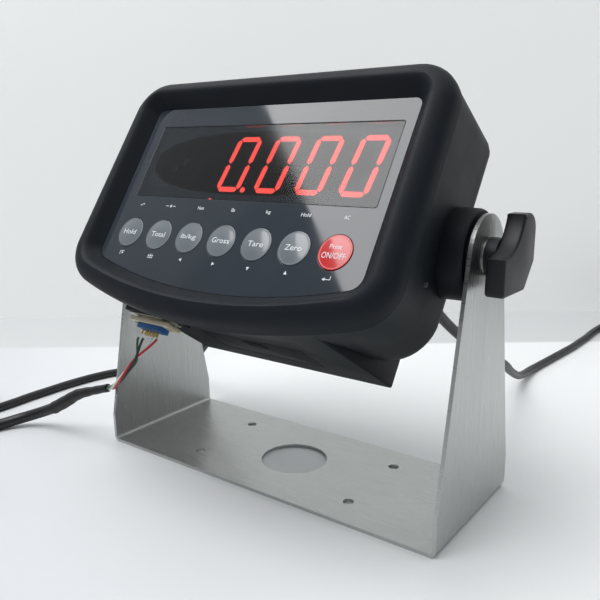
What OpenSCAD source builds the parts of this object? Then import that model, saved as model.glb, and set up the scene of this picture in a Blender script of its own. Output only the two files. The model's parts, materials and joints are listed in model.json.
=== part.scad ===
// Weighing indicator on a U-shaped tilt bracket, with its three cables.
// Origin: centre of the cable hole, on the underside of the bracket's base.
// +X to the right along the pivot axis, +Y to the back, +Z up. Millimetres.

/* [Bracket] */
// Outside width across the two arms
bracket_w = 230; // [229:1:232]
// Front-to-back depth of the base and of the arms' feet
bracket_d = 88; // [84:1:92]
// Thickness of the stainless sheet
sheet = 2; // [1.5:0.5:2]
// Inside radius of the two bends
bend_r = 2; // [1:0.5:3]
// Height of the tilt pivot above the table
pivot_h = 137; // [134:1:140]
// Radius of the round top of each arm
arm_top_r = 20; // [16:1:22]
// Height up to which the arms keep their full depth
taper_z = 18; // [14:1:24]
// Radius of the cable hole in the base
cable_hole_r = 20; // [15:1:22]
// Radius of the four bolt holes
bolt_hole_r = 3; // [2:0.5:4]
// Bolt hole spacing, side to side
bolt_x = 110; // [90:5:130]
// Bolt hole spacing, front to back
bolt_y = 50; // [45:1:60]

/* [Head] */
// Lean of the face back from upright, at rest
lean = 34; // [30:1:38]
// Half width of the bezel
bezel_w = 104; // [103:0.5:104]
// Top edge of the bezel, above the pivot along the face
bezel_top = 69.5; // [69:0.5:71]
// Lowest point of the bezel's bowed bottom edge, along the face
bezel_low = -72.5; // [-74:0.5:-72]
// Radius of the bezel's corners
bezel_corner_r = 22; // [18:1:24]
// Height of the bezel's crest in front of the pivot axis
crest_n = 59.5; // [58.5:0.5:60]
// Radius of the rounding from the crest to the side
crest_r = 10.5; // [9:0.5:11]
// Front surface of the panel, in front of the pivot axis
panel_n = 51.1; // [51:0.1:51.4]
// Half width of the panel
panel_w = 86.4; // [86:0.2:87]
// Half width of the back of the rear shell
back_w = 95.2; // [94:0.2:96]
// Wall thickness of both shells
wall = 2.8; // [2.4:0.2:3]

/* [Keys] */
// Distance between neighbouring keys
key_pitch = 22.6; // [22:0.2:23]
// Radius of a key
key_r = 8.75; // [8:0.25:9]
// Height of the key row along the face
key_v = -27.8; // [-29:0.2:-26]
// Radial gap round each key
key_gap = 0.2; // [0.15:0.05:0.3]

/* [Display] */
// Distance between neighbouring digits
digit_pitch = 26; // [25.9:0.1:26.2]
// Height of a digit
digit_h = 33.5; // [30:0.5:34]
// Width of a digit
digit_w = 16.5; // [15:0.5:17]
// Slant of the digits
digit_slant = 6; // [0:1:8]
// Width of one segment
segment_w = 2.8; // [2:0.2:3.2]
// Height of the display's centre along the face
display_v = 20.5; // [20:0.5:21]

/* [Cables] */
// Diameter of the load cell cable
load_d = 7.5; // [7:0.5:7.5]
// Diameter of the serial cable
serial_d = 6; // [5.5:0.5:6]
// Diameter of the mains lead
mains_d = 6; // [5.5:0.5:6]

/* [Hidden] */

$fn = 64;
eps = 0.01;
layer_t = 0.2;                     // thickness of a layer inside a hull

black = [0.12, 0.13, 0.15];
steel = [0.60, 0.61, 0.60];

// Bracket
arm_face = bracket_w / 2;          // outer face of an arm
arm_inner = arm_face - sheet;      // inner face of an arm
stud_hole_r = 3.5;

// Head, along n (out of the face), with u = x and v up the face
bezel_back_n = 46;
crest_inset_n = crest_n - crest_r;
plate_n = 46.5;                    // back of the plate behind the panel
membrane_n = 49;
overlay_n = 49.9;
rear_rim_n = 45.4;
back_n = -18;
back_top = 73;
back_low = -58;
hump_n = -41;
hump_w = 67;
hump_top = 48;
foot_v = -63.5;
foot_front_n = 34;
foot_front_w = 62;
panel_top = 52.6;
panel_low = -56;

// Tilt pivot
boss_r = 22.5;
boss_face_r = 21.5;
boss_u = 111;                      // outer face of each pivot boss
boss_in = 84;
boss_wall = 4;
insert_r = 5;
insert_in = 97;
stud_r = 3;
stud_gap = 0.05;
washer_t = 1;
knob_u = arm_face + washer_t;
knob_neck_r = 9.25;
knob_neck = 5;
grip_u = knob_u + knob_neck;
grip_t = 9;
// Rounded corners of the knob's grip, as place across, height and radius
grip_corners = [[-16, -13, 2.5], [-16, 17.5, 2.5], [11.5, 11, 9], [18, -2.5, 2.5], [8, -13.5, 2.5]];
scoop_r = 24.5;
scoop_at = [-18.8, 26.5];

// Display
window_left = -76.5;
window_right = 81;
window_low = -5;
window_top = 40;
window_corner_r = 1;
digits_n = 44;
digits_u = -2.4;
board_n = 30;
board_t = 1.6;
opening_w = 82;
opening_low = -6;
opening_top = 42.3;
post_u = 74;
post_top = 46;
post_low = -41;

// Housing screws, two up and two down
screw_u = 84;
screw_top = 58;
screw_low = -36;
screw_split_n = 42;

// Battery door and well, on the foot's flat bottom
door_u = -1;
door_w = 70;
door_back = -23;
door_front = 4;
door_t = 2.4;
well_top = 6;

// Signal connector on the underside
plug_u = -56;
plug_n = 20;
pad_v = -66;

// Cable glands on the back
gland_u = 75;
gland_v = -14;
mains_relief = 26;
serial_relief = 14;
gland_flange = 3;
nut_r = 7;

// Routes of the cables, along their centre lines
mains_route = [[75, 31.5, 99], [75, 46, 89], [76, 61, 79], [77, 76, 70], [79, 92, 62], [80, 108, 54],
    [80, 124, 46], [79, 140, 38], [76, 156, 30], [73, 172, 23], [70, 189, 16], [67, 206, 10],
    [65, 224, 6], [64, 242, 4], [65, 260, 3], [67, 278, 3], [69, 296, 3], [71, 314, 3], [73, 333, 3],
    [74, 352, 3], [75, 371, 3], [75, 390, 3], [76, 409, 3], [78, 429, 3], [79, 450, 3]];
serial_route = [[-75, 21.5, 105.5], [-77, 33, 98], [-83, 43, 88], [-92, 49, 77], [-103, 52, 65],
    [-114, 54, 53], [-125, 55, 41], [-136, 57, 30], [-148, 60, 20], [-161, 63, 12], [-175, 65, 6],
    [-189, 64, 3], [-202, 59, 3], [-213, 50, 3], [-220, 38, 3], [-224, 24, 3],
    [-226, 10, 3], [-227, -5, 3], [-227, -20, 3], [-227, -35, 3], [-226, -50, 3],
    [-226, -69, 3], [-226, -88, 3]];
load_route = [[-160, -56, 17], [-175, -59, 10.5], [-187, -67, 6], [-194, -81, 3.75],
    [-197, -100, 3.75], [-198, -122, 3.75], [-197, -146, 3.75], [-196, -170, 3.75]];
wire_route = [[-57.5, -59.3, 82.8], [-66, -62, 70], [-80, -62, 56], [-96, -57, 45], [-110, -50, 39.5]];
wire_r = 0.7;
wire_spread = [[-7, -1.4, 0], [-3, -1.4, 0], [1, 1.4, 0], [5, 1.4, 0]];
wire_ends = [[0, -1, 1], [0, -1, -1], [0, 1, 1], [0, 1, -1]];
wire_colors = ["green", "black", "white", "red"];
sleeve_points = [[-110, -50, 39.5], [-124, -51.5, 35], [-138, -53, 30], [-150, -54.5, 23],
    [-162, -56.5, 16]];
sleeve_radii = [2.6, 2.8, 3.6, 4.2, 4.2];

// Coils: centre on the table, outer turn radius, height of two turns
mains_coil_at = [121, 450];
serial_coil_at = [-262, -88];
load_coil_at = [-152, -170];
turns = 3;
mains_coil_r = 42;
serial_coil_r = 36;
load_coil_r = 44;

// ---- outlines -----------------------------------------------------------

function arc_points(x, y, r, from, to, n = 8) =
    [for (i = [0 : n]) let (a = from + (to - from) * i / n) [x + r * cos(a), y + r * sin(a)]];

// A shield: straight top, drafted sides and a bottom edge bowed to the angle bow at its ends
function shield(w_top, w_low, top, low, r_top, r_low, bow, inset = 0) =
    let (
        wt = w_top - r_top,
        wl = w_low - r_low,
        big = (wl + r_low * sin(bow)) / sin(bow),
        corner = low + big * (1 - cos(bow)) + r_low * cos(bow),
        rt = r_top - inset,
        rl = r_low - inset,
        rb = big - inset
    )
    concat(
        arc_points(wt, top - r_top, rt, 0, 90),
        arc_points(-wt, top - r_top, rt, 90, 180),
        arc_points(-wl, corner, rl, 180, 270 - bow),
        arc_points(0, low + big, rb, 270 - bow + 2, 270 + bow - 2, 12),
        arc_points(wl, corner, rl, 270 + bow, 360)
    );

function round_box(w, low, top, r_low, r_top) = concat(
    arc_points(w - r_top, top - r_top, r_top, 0, 90, 6),
    arc_points(r_top - w, top - r_top, r_top, 90, 180, 6),
    arc_points(r_low - w, low + r_low, r_low, 180, 270, 4),
    arc_points(w - r_low, low + r_low, r_low, 270, 360, 4)
);

function bezel_outline(inset) =
    shield(bezel_w - 1, bezel_w, bezel_top, bezel_low, bezel_corner_r, bezel_corner_r, 16, inset);
function panel_outline(grow = 0) =
    shield(panel_w, panel_w, panel_top, panel_low, 4.5, 8, 15.5, -grow);
function back_outline(inset) = shield(back_w, back_w, back_top, back_low, 10, 25, 3, inset);
function window_outline(grow = 0) = [
    for (p = round_box((window_right - window_left) / 2 + grow, window_low - grow, window_top + grow,
                       window_corner_r, window_corner_r))
        p + [(window_left + window_right) / 2, 0]
];

// A thin layer of an outline at height n, for hull()
module layer(outline, n) {
    translate([0, 0, n - layer_t]) linear_extrude(layer_t) polygon(outline);
}

// Puts the head's own axes (u, v, n) at the pivot, leaning back
module place_head() {
    translate([0, 0, pivot_h]) rotate([90 - lean, 0, 0]) children();
}

module along_x(x) {
    translate([x, 0, 0]) rotate([0, 90, 0]) children();
}

module on_side(side) {
    if (side > 0) children();
    else mirror([1, 0, 0]) children();
}

module ring(outer, inner, h) {
    difference() {
        cylinder(r = outer, h = h);
        translate([0, 0, -1]) cylinder(r = inner, h = h + 2);
    }
}

module at_corners(us, vs, n) {
    for (u = us, v = vs) translate([u, v, n]) children();
}

// ---- bracket ------------------------------------------------------------

// Side view of one arm: straight foot, straight taper, round top
function arm_profile() =
    let (
        half = bracket_d / 2,
        rise = pivot_h - taper_z,
        reach = sqrt(half * half + rise * rise),
        turn = acos(arm_top_r / reach) - atan2(rise, half)
    )
    concat(
        [[half, sheet + bend_r], [half, taper_z]],
        arc_points(0, pivot_h, arm_top_r, turn, 180 - turn, 24),
        [[-half, taper_z], [-half, sheet + bend_r]]
    );

module bend() {
    rotate([90, 0, 0]) translate([0, 0, -bracket_d / 2]) linear_extrude(bracket_d) difference() {
        intersection() {
            circle(bend_r + sheet);
            translate([0, -bend_r - sheet]) square(bend_r + sheet);
        }
        circle(bend_r);
    }
}

module arm() {
    difference() {
        translate([arm_inner, 0, 0]) rotate([90, 0, 90]) linear_extrude(sheet) polygon(arm_profile());
        translate([0, 0, pivot_h]) along_x(arm_inner - 1) cylinder(r = stud_hole_r, h = sheet + 2);
    }
}

module u_bracket() color(steel) {
    base_w = bracket_w - 2 * (bend_r + sheet);
    difference() {
        translate([-base_w / 2, -bracket_d / 2, 0]) cube([base_w, bracket_d, sheet]);
        translate([0, 0, -1]) cylinder(r = cable_hole_r, h = sheet + 2);
        at_corners([-bolt_x / 2, bolt_x / 2], [-bolt_y / 2, bolt_y / 2], -1)
            cylinder(r = bolt_hole_r, h = sheet + 2);
    }
    for (side = [-1, 1]) on_side(side) {
        arm();
        translate([base_w / 2, 0, bend_r + sheet]) bend();
    }
}

// ---- housing ------------------------------------------------------------

module bezel_solid() {
    hull() {
        layer(bezel_outline(0), bezel_back_n + layer_t);
        for (a = [15 : 15 : 90])
            layer(bezel_outline(crest_r * (1 - cos(a))), crest_inset_n + crest_r * sin(a));
    }
}

module bezel_recess() {
    hull() {
        layer(panel_outline(), panel_n);
        layer(panel_outline(4.4), crest_n - 2.4);
        layer(panel_outline(6.6), crest_n - 0.5);
        layer(panel_outline(8), crest_n + 0.5);
    }
}

module front_shell() color(black) place_head() {
    difference() {
        bezel_solid();
        bezel_recess();
        translate([0, 0, membrane_n]) linear_extrude(3) polygon(panel_outline());
        translate([0, 0, bezel_back_n - 1]) linear_extrude(plate_n - bezel_back_n + 1)
            polygon(bezel_outline(wall));
        translate([-opening_w, opening_low, plate_n - 1])
            cube([2 * opening_w, opening_top - opening_low, 5]);
    }
    at_corners([-screw_u, screw_u], [screw_low, screw_top], screw_split_n)
        ring(4.5, 1.55, plate_n - screw_split_n + eps);
    at_corners([-post_u, post_u], [post_low, post_top], board_n + board_t)
        ring(3, 1.3, plate_n - board_n - board_t + eps);
}

module rear_outer() {
    hull() {
        layer(bezel_outline(0.4), rear_rim_n);
        layer(back_outline(0), back_n + 8);
        layer(back_outline(1.4), back_n + 3);
        layer(back_outline(5), back_n + layer_t);
    }
    hull() {
        layer(round_box(foot_front_w, foot_v, -30, 1, 8), foot_front_n);
        layer(round_box(hump_w, foot_v, hump_top, 1, 8), back_n);
        layer(round_box(hump_w + 0.8, foot_v, hump_top - 3, 1, 8), hump_n + 4);
        layer(round_box(hump_w - 1.5, foot_v + 1, hump_top - 6, 1, 6), hump_n + layer_t);
    }
}

module rear_hollow() {
    hull() {
        layer(bezel_outline(0.4 + wall), rear_rim_n + 1);
        layer(back_outline(wall), back_n + 8);
        layer(back_outline(wall + 2), back_n + wall);
    }
    hull() {
        layer(round_box(foot_front_w - wall, foot_v + wall, -30 - wall, 1, 6), foot_front_n - wall);
        layer(round_box(hump_w - wall, foot_v + wall, hump_top - wall, 1, 6), back_n);
        layer(round_box(hump_w - wall - 1, foot_v + wall, hump_top - 6 - wall, 1, 5), hump_n + wall);
    }
}

module door_box(grow, low, top) {
    translate([door_u - door_w / 2 - grow, low, door_back - grow])
        cube([door_w + 2 * grow, top - low, door_front - door_back + 2 * grow]);
}

module rear_shell() color(black) place_head() {
    difference() {
        union() {
            difference() {
                rear_outer();
                rear_hollow();
            }
            for (side = [-1, 1]) on_side(side) along_x(boss_in)
                cylinder(r1 = boss_r, r2 = boss_face_r, h = boss_u - boss_in);
            at_corners([-screw_u, screw_u], [screw_low, screw_top], back_n + 1)
                cylinder(r = 4.5, h = screw_split_n - back_n - 1);
            door_box(1, foot_v + 1, well_top + 2);
            translate([plug_u - 19, pad_v, plug_n - 9]) cube([38, 8, 18]);
        }
        door_box(-1.3, foot_v - 1, well_top);
        door_box(0.3, foot_v - 3, foot_v + door_t);
        for (side = [-1, 1]) on_side(side) {
            along_x(boss_in - 1) cylinder(r = insert_r, h = boss_u - boss_in + 2);
            along_x(boss_in + wall) cylinder(r = boss_r - boss_wall, h = insert_in - boss_in - wall);
        }
        at_corners([-screw_u, screw_u], [screw_low, screw_top], back_n - 1) {
            cylinder(r = 1.6, h = 80);
            cylinder(r = 3.2, h = 4);
        }
        for (u = [-gland_u, gland_u]) translate([u, gland_v, back_n - 1]) cylinder(r = 5, h = wall + 4);
        translate([plug_u - 9.5, pad_v - 1, plug_n - 5]) cube([19, 12, 10]);
    }
}

module housing_gasket() color([0.05, 0.05, 0.05]) place_head() {
    translate([0, 0, rear_rim_n]) linear_extrude(bezel_back_n - rear_rim_n) difference() {
        polygon(bezel_outline(0.8));
        polygon(bezel_outline(wall));
    }
}

module housing_screws() color(steel) place_head() {
    at_corners([-screw_u, screw_u], [screw_low, screw_top], back_n + 0.4) {
        cylinder(r = 2.9, h = 2.2);
        cylinder(r = 1.5, h = 63);
    }
}

module seal_screw() color(steel) place_head() {
    translate([98.4, -27.5, 24.8]) rotate([0, 90, 0]) cylinder(r = 1.2, h = 3.4);
}

// ---- panel and keypad ---------------------------------------------------

module key_places() {
    for (k = [-3 : 3]) translate([k * key_pitch, key_v, 0]) children();
}

module panel_overlay() color([0.29, 0.31, 0.34]) place_head() {
    difference() {
        translate([0, 0, overlay_n]) linear_extrude(panel_n - overlay_n) polygon(panel_outline(-0.2));
        translate([0, 0, overlay_n - 1]) linear_extrude(3) polygon(window_outline());
        key_places() translate([0, 0, overlay_n - 1]) cylinder(r = key_r + key_gap, h = 3);
    }
}

module membrane_layer() color([0.8, 0.8, 0.75]) place_head() {
    difference() {
        translate([0, 0, membrane_n]) linear_extrude(overlay_n - membrane_n)
            polygon(panel_outline(-0.2));
        translate([-opening_w - 2, opening_low - 2, membrane_n - 1])
            cube([2 * opening_w + 4, opening_top - opening_low + 4, 3]);
        key_places() translate([0, 0, membrane_n - 1]) cylinder(r = key_r + key_gap, h = 3);
    }
}

module dome_switches() color("silver") place_head() {
    key_places() translate([0, 0, membrane_n]) {
        cylinder(r = 6, h = 0.3);
        cylinder(r = 4, h = 0.5);
    }
}

module key(column, paint) color(paint) place_head() {
    translate([column * key_pitch, key_v, overlay_n + 0.2]) cylinder(r = key_r, h = 1.3);
}

module key_hold() key(-3, [0.50, 0.52, 0.54]);
module key_total() key(-2, [0.50, 0.52, 0.54]);
module key_unit() key(-1, [0.50, 0.52, 0.54]);
module key_gross() key(0, [0.50, 0.52, 0.54]);
module key_tare() key(1, [0.50, 0.52, 0.54]);
module key_zero() key(2, [0.50, 0.52, 0.54]);
module key_power() key(3, [0.85, 0.22, 0.20]);

// ---- display ------------------------------------------------------------

module display_lens() color([0.10, 0.11, 0.13, 0.5]) place_head() {
    translate([0, 0, overlay_n]) linear_extrude(panel_n - overlay_n) polygon(window_outline(-0.1));
    translate([-opening_w - 1.5, opening_low - 1.5, membrane_n])
        cube([2 * opening_w + 3, opening_top - opening_low + 3, overlay_n - membrane_n]);
}

module digit_places(digits) {
    for (d = digits) translate([digits_u + (d - 2.5) * digit_pitch, display_v, 0]) children();
}

module led_digits() color([0.18, 0.19, 0.20]) place_head() {
    digit_places([0 : 5]) translate([-12.9, -20.4, board_n + board_t])
        cube([25.8, 40.8, digits_n - board_n - board_t]);
}

// Ends of the seven segments, as fractions of half the digit's width and height
segment_ends = [
    [[-1, 1], [1, 1]], [[1, 1], [1, 0]], [[1, 0], [1, -1]], [[1, -1], [-1, -1]],
    [[-1, -1], [-1, 0]], [[-1, 0], [-1, 1]], [[-1, 0], [1, 0]]
];

function slanted(p) = [p[0] + p[1] * tan(digit_slant), p[1]];

// A six-sided bar between two ends of the digit's figure
function segment_outline(s) =
    let (
        half_w = (digit_w - segment_w) / 2,
        half_h = (digit_h - segment_w) / 2,
        a = [segment_ends[s][0][0] * half_w, segment_ends[s][0][1] * half_h],
        b = [segment_ends[s][1][0] * half_w, segment_ends[s][1][1] * half_h],
        along = (b - a) / norm(b - a),
        across = [-along[1], along[0]] * segment_w / 2,
        tip = 0.4 * along,
        shoulder = (0.4 + segment_w / 2) * along
    )
    [for (p = [a + tip, a + shoulder + across, b - shoulder + across, b - tip,
               b - shoulder - across, a + shoulder - across]) slanted(p)];

module segments(which) {
    for (s = which) linear_extrude(0.3) polygon(segment_outline(s));
}

module point_dot() {
    translate([slanted([0, -digit_h / 2])[0] + digit_w / 2 + 2.6, 1.4 - digit_h / 2, 0])
        cylinder(r = 1.5, h = 0.3);
}

module lit_segments() color([1, 0.15, 0.1]) place_head() translate([0, 0, digits_n]) {
    digit_places([2 : 5]) segments([0 : 5]);
    digit_places([2]) point_dot();
}

module unlit_segments() color([0.25, 0.25, 0.26]) place_head() translate([0, 0, digits_n]) {
    digit_places([0, 1]) segments([0 : 6]);
    digit_places([2 : 5]) segments([6]);
    digit_places([0, 1, 3, 4, 5]) point_dot();
}

module annunciator_leds() color([0.7, 0.1, 0.1]) place_head() {
    for (k = [-3 : 3]) translate([k * key_pitch - 1.5, -4.6, board_n + board_t])
        cube([3, 1.6, 16]);
}

// ---- electronics --------------------------------------------------------

module main_board() color([0.05, 0.30, 0.16]) place_head() {
    difference() {
        translate([-78.9, -46, board_n]) cube([157.8, 96, board_t]);
        at_corners([-post_u, post_u], [post_low, post_top], board_n - 1) cylinder(r = 1.6, h = 4);
    }
}

module board_screws() color(steel) place_head() {
    at_corners([-post_u, post_u], [post_low, post_top], board_n - 1.8) {
        cylinder(r = 2.6, h = 1.8);
        cylinder(r = 1.25, h = 11);
    }
}

module buzzer() color([0.05, 0.05, 0.05]) place_head() {
    translate([60, -30, board_n - 8]) cylinder(r = 6, h = 8);
}

module power_board() color([0.05, 0.30, 0.16]) place_head() {
    translate([-82, 0, back_n + wall]) cube([38, 44, 5]);
}

module transformer_core() color([0.35, 0.36, 0.38]) place_head() {
    difference() {
        translate([42, 4, back_n + wall]) cube([41, 35, 14]);
        translate([49, 11, back_n + wall - 1]) cube([27, 21, 16]);
    }
}

module transformer_coil() color([0.75, 0.55, 0.15]) place_head() {
    translate([49, 11, back_n + wall]) cube([27, 21, 20]);
}

module battery_pack() color([0.10, 0.25, 0.55]) place_head() {
    door_box(-2, foot_v + door_t + 0.5, well_top - 3);
}

module battery_door() color(black) place_head() {
    door_box(0, foot_v, foot_v + door_t);
}

// ---- tilt pivots --------------------------------------------------------

module at_pivot(side) {
    translate([0, 0, pivot_h]) on_side(side) children();
}

module pivot_insert(side) color([0.75, 0.60, 0.25]) at_pivot(side)
    along_x(insert_in) ring(insert_r, stud_r + stud_gap, boss_u - insert_in);

module friction_washer(side) color([0.04, 0.04, 0.04]) at_pivot(side)
    along_x(boss_u) ring(17, 5, arm_inner - boss_u);

module plain_washer(side) color(steel) at_pivot(side)
    along_x(arm_face) ring(8, stud_r + stud_gap, washer_t);

module knob_stud(side) color(steel) at_pivot(side)
    along_x(insert_in + 1) cylinder(r = stud_r, h = grip_u + 6 - insert_in - 1);

// A wing grip with rounded corners and one finger hollow, its local x pointing up
module grip_outline() rotate(90) difference() {
    hull() for (c = grip_corners) translate([c[0], c[1]]) circle(c[2]);
    translate(scoop_at) circle(scoop_r);
}

module knob(side) color(black) at_pivot(side) difference() {
    union() {
        along_x(knob_u) cylinder(r = knob_neck_r, h = knob_neck + 1);
        along_x(grip_u) linear_extrude(grip_t) grip_outline();
    }
    along_x(knob_u - 1) cylinder(r = stud_r, h = grip_u + 7 - knob_u);
}

module pivot_insert_left() pivot_insert(-1);
module pivot_insert_right() pivot_insert(1);
module friction_washer_left() friction_washer(-1);
module friction_washer_right() friction_washer(1);
module plain_washer_left() plain_washer(-1);
module plain_washer_right() plain_washer(1);
module knob_stud_left() knob_stud(-1);
module knob_stud_right() knob_stud(1);
module knob_left() knob(-1);
module knob_right() knob(1);

// ---- signal connector on the underside ----------------------------------

// Puts local z along -v, starting on the pad's face
module on_pad(depth) {
    place_head() translate([plug_u, pad_v - depth, plug_n]) rotate([90, 0, 0]) children();
}

module plate(w, d, h) {
    translate([-w / 2, -d / 2, 0]) cube([w, d, h]);
}

module signal_socket() color("gainsboro") on_pad(0) {
    difference() {
        plate(30.8, 12.5, 1);
        for (u = [-12.5, 12.5]) translate([u, 0, -1]) cylinder(r = 1.5, h = 3);
    }
    translate([0, 0, -8]) plate(18, 9, 8);
}

module jack_screws() color("silver") {
    for (u = [-12.5, 12.5]) on_pad(-6) translate([u, 0, 0]) {
        cylinder(r = 1.45, h = 8);
        translate([0, 0, 7]) cylinder(r = 2.4, h = 1.2);
    }
}

module signal_plug() color([0.80, 0.77, 0.66]) on_pad(1) {
    difference() {
        union() {
            plate(17.5, 9.2, 3);
            translate([0, 0, 1.2 + eps]) plate(30.8, 12.5, 2.4);
        }
        for (u = [-12.5, 12.5]) translate([u, 0, 0]) cylinder(r = 2.6, h = 6);
    }
}

module plug_insulator() color([0.08, 0.25, 0.50]) on_pad(4.6 + eps) plate(19, 8, 3);

module solder_cups() color([0.80, 0.72, 0.45]) on_pad(7.6 + eps) {
    for (k = [-2 : 2]) translate([2.76 * k, 1.42, 0]) cylinder(r = 0.6, h = 3);
    for (k = [-1.5 : 1.5]) translate([2.76 * k, -1.42, 0]) cylinder(r = 0.6, h = 3);
}

// ---- cables -------------------------------------------------------------

module on_back(u) {
    place_head() translate([u, gland_v, back_n]) rotate([180, 0, 0]) children();
}

module serial_gland() color(black) on_back(-gland_u) {
    cylinder(r = nut_r, h = gland_flange);
    translate([0, 0, gland_flange]) cylinder(r1 = 5, r2 = serial_d / 2 + 0.7, h = serial_relief);
    translate([0, 0, -wall - 2]) cylinder(r = 4.9, h = wall + 2);
}

module mains_strain_relief() color(black) on_back(gland_u) {
    cylinder(r = nut_r, h = gland_flange);
    translate([0, 0, gland_flange]) cylinder(r1 = 5.5, r2 = mains_d / 2 + 0.8, h = mains_relief);
    translate([0, 0, -wall - 2]) cylinder(r = 4.9, h = wall + 2);
}

function unit(v) = v / norm(v);

// Direction of a route at point i
function heading(route, i) =
    unit(route[min(i + 1, len(route) - 1)] - route[max(i - 1, 0)]);

// One ring of the tube, square to the route
function tube_ring(route, i, r, sides) =
    let (
        t = heading(route, i),
        a = unit(cross(t, abs(t[2]) > 0.9 ? [1, 0, 0] : [0, 0, 1])),
        b = cross(t, a)
    )
    [for (k = [0 : sides - 1]) let (w = 360 * (k + 0.5) / sides) route[i] + r * (cos(w) * a + sin(w) * b)];

// A round tube swept along a route, with one radius a point
module tube(route, radii, sides = 10) {
    rings = len(route);
    polyhedron(
        points = [for (i = [0 : rings - 1]) each tube_ring(route, i, radii[i], sides)],
        faces = concat(
            [[for (k = [0 : sides - 1]) k]],
            [for (i = [0 : rings - 2], k = [0 : sides - 1]) let (j = (k + 1) % sides)
                [i * sides + k, (i + 1) * sides + k, (i + 1) * sides + j, i * sides + j]],
            [[for (k = [sides - 1 : -1 : 0]) (rings - 1) * sides + k]]
        )
    );
}

function same(r, route) = [for (p = route) r];

module coil(at, outer, d) {
    inner = outer - turns * d - d / 2;
    translate([at[0], at[1], 0]) rotate_extrude() translate([inner, 0]) square([outer + d / 2 - inner, 2 * d]);
}

module signal_wires() {
    steps = len(wire_route) - 1;
    for (w = [0 : 3]) color(wire_colors[w])
        tube([for (i = [0 : steps]) wire_route[i]
                + (1 - i / steps) * wire_spread[w] + (i / steps) * wire_ends[w]],
            same(wire_r, wire_route), 8);
}

module heat_shrink() color(black) tube(sleeve_points, sleeve_radii, 12);

module load_cell_cable() color(black) tube(load_route, same(load_d / 2, load_route));
module serial_cable() color(black) tube(serial_route, same(serial_d / 2, serial_route));
module mains_lead() color(black) tube(mains_route, same(mains_d / 2, mains_route));
module load_cell_coil() color(black) coil(load_coil_at, load_coil_r, load_d);
module serial_coil() color(black) coil(serial_coil_at, serial_coil_r, serial_d);
module mains_coil() color(black) coil(mains_coil_at, mains_coil_r, mains_d);

// Round aviation connector, lying along +X beside its coil
module load_cell_connector() color("silver")
    translate([load_coil_at[0] + 14, load_coil_at[1] - load_coil_r - 11.5, 8]) rotate([0, 90, 0]) {
        cylinder(r1 = 4, r2 = 6, h = 10);
        translate([0, 0, 10]) cylinder(r = 7, h = 14);
        translate([0, 0, 24]) cylinder(r = 8, h = 16);
        translate([0, 0, 40]) cylinder(r = 6.5, h = 6);
    }

// Nine-way connector in a flat hood, lying along -X beside its coil
module serial_connector() color([0.2, 0.21, 0.22])
    translate([serial_coil_at[0] - 14, serial_coil_at[1] - serial_coil_r - 12, 0]) {
        translate([-8, 0, 7]) rotate([0, 90, 0]) cylinder(r = 4, h = 8);
        translate([-44, -8, 0]) cube([36, 16, 15]);
        translate([-45, -15.4, 1.2]) cube([1, 30.8, 12.5]);
        translate([-51, -8.5, 3.2]) cube([6, 17, 8.5]);
    }

pin_r = 2;
pin_length = 19;
pin_gap = 18.6;
plug_axis_z = 7.5;
plug_at = [mains_coil_at[0] + mains_coil_r + 3, mains_coil_at[1] - 22];

// Flat two-pin mains plug, lying beside its coil with its pins towards -Y
module mains_plug() {
    translate([plug_at[0], plug_at[1], plug_axis_z]) rotate([90, 0, 0]) {
        color(black) hull() {
            cylinder(r = 4.5, h = 4);
            translate([-13, -6.8, 18]) cube([26, 13.6, 17]);
        }
        color("silver") for (x = [-pin_gap / 2, pin_gap / 2])
            translate([x, 0, 35 - eps]) cylinder(r = pin_r, h = pin_length + eps);
    }
}

u_bracket();
front_shell();
rear_shell();
housing_gasket();
panel_overlay();
membrane_layer();
dome_switches();
display_lens();
led_digits();
lit_segments();
unlit_segments();
annunciator_leds();
main_board();
board_screws();
buzzer();
power_board();
transformer_core();
transformer_coil();
battery_pack();
battery_door();
housing_screws();
seal_screw();
pivot_insert_left();
pivot_insert_right();
friction_washer_left();
friction_washer_right();
plain_washer_left();
plain_washer_right();
knob_left();
knob_right();
knob_stud_left();
knob_stud_right();
signal_socket();
jack_screws();
signal_plug();
plug_insulator();
solder_cups();
serial_gland();
mains_strain_relief();
key_hold();
key_total();
key_unit();
key_gross();
key_tare();
key_zero();
key_power();
signal_wires();
heat_shrink();
load_cell_cable();
load_cell_coil();
load_cell_connector();
serial_cable();
serial_coil();
serial_connector();
mains_lead();
mains_coil();
mains_plug();
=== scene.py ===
"""Looks of a weighing indicator: a tilting head on a stainless bracket, with its three cables.

Lengths are in millimetres and become metres when a mesh is made. The head is drawn in its own axes:
u along the tilt pivots, v up the face and n out of the face, with the pivot at their origin.
"""

import json
import math

import bmesh
import bpy
from mathutils import Matrix, Vector


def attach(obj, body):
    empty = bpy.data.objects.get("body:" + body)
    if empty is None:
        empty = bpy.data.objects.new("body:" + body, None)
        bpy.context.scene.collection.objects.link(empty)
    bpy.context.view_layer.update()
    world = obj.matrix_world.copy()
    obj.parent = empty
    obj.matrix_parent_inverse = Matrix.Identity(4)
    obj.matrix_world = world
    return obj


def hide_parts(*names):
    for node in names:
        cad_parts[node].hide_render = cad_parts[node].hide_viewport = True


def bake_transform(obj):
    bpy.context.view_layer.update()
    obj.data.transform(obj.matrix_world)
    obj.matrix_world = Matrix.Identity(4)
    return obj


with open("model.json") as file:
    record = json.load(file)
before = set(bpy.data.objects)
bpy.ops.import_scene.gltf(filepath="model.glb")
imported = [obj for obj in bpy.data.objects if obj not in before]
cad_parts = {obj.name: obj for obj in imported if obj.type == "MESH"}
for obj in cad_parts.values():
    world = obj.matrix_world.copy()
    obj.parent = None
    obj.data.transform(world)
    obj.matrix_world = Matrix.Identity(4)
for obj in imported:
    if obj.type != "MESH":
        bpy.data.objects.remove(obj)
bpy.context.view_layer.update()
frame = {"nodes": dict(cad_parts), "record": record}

MM = 0.001


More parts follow.
